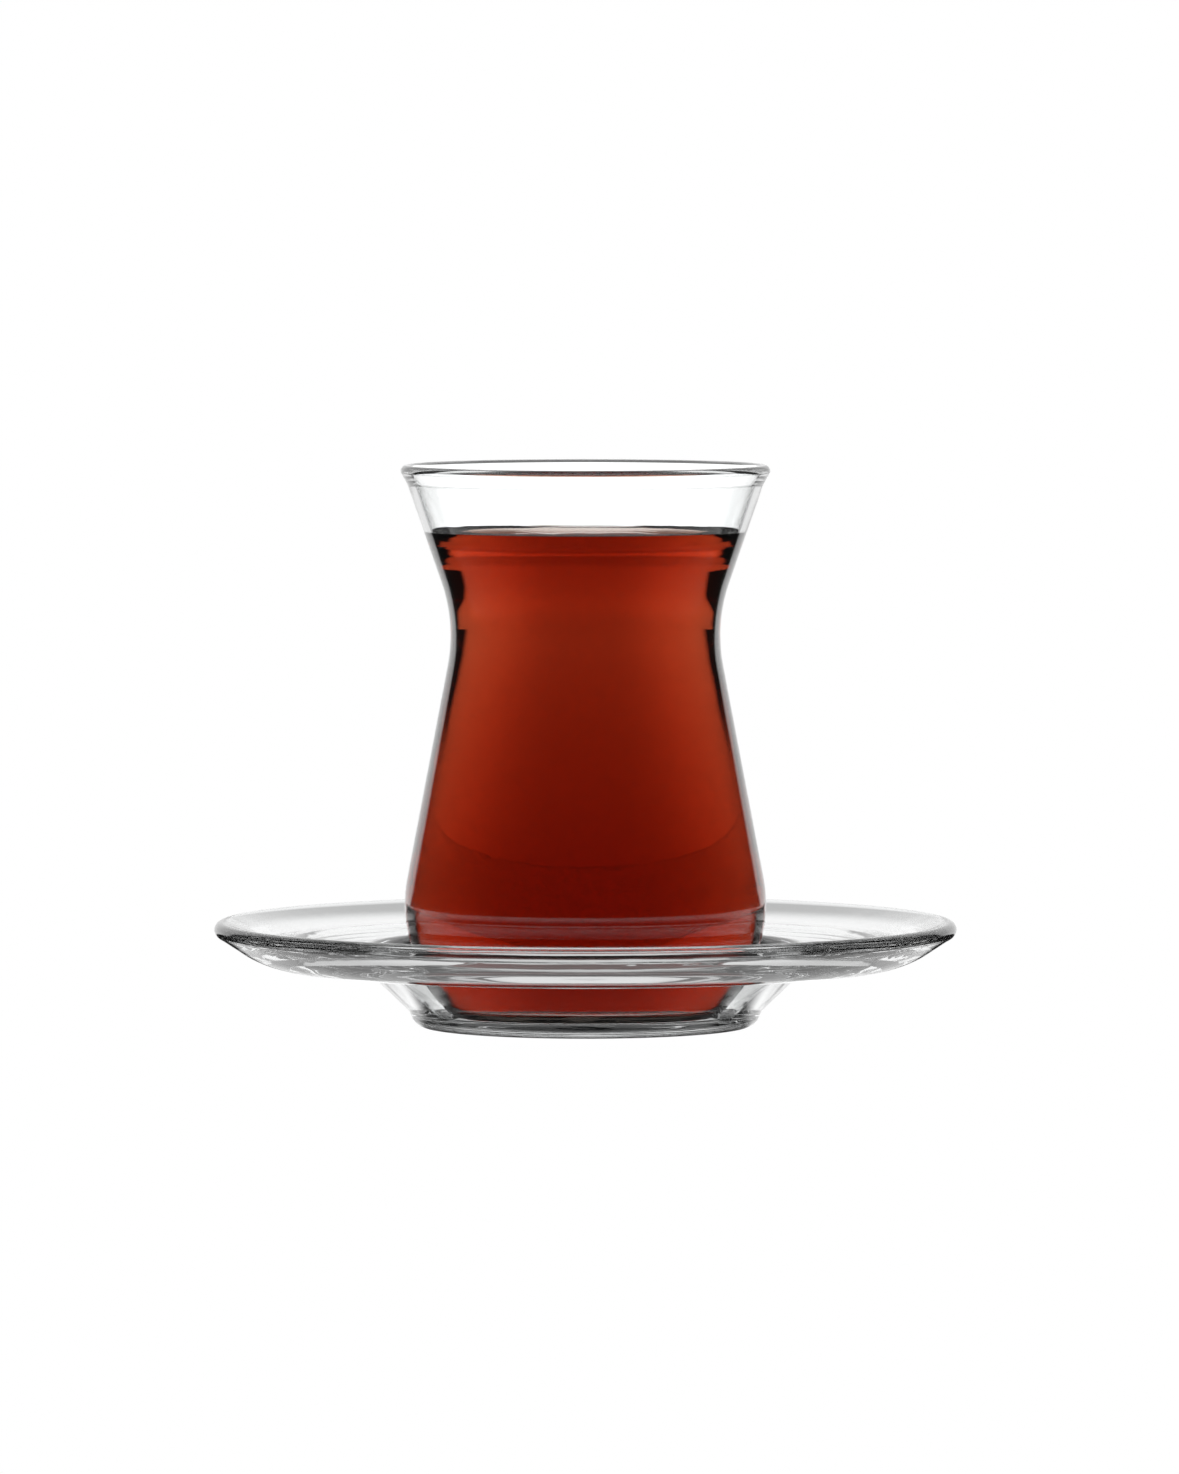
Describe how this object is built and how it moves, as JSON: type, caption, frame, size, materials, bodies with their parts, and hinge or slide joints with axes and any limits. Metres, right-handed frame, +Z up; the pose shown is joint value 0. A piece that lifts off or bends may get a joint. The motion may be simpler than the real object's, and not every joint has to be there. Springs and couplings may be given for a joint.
{
  "type": "turkish tea glass",
  "caption": "Small-waisted clear glass filled with red-brown black tea, standing in the round well of a clear pressed-glass saucer.",
  "frame": {"origin": "centre of the saucer's foot, on the surface that it stands on", "axes": "+Z up along the axis of the glass and saucer; the picture looks along +Y"},
  "size_m": [0.128, 0.128, 0.0968],
  "materials": {
    "clear_glass": "gloss",
    "tea": "gloss"
  },
  "bodies": {
    "root": {"saucer": "clear_glass", "glass": "clear_glass", "tea": "tea"}
  },
  "joints": []
}
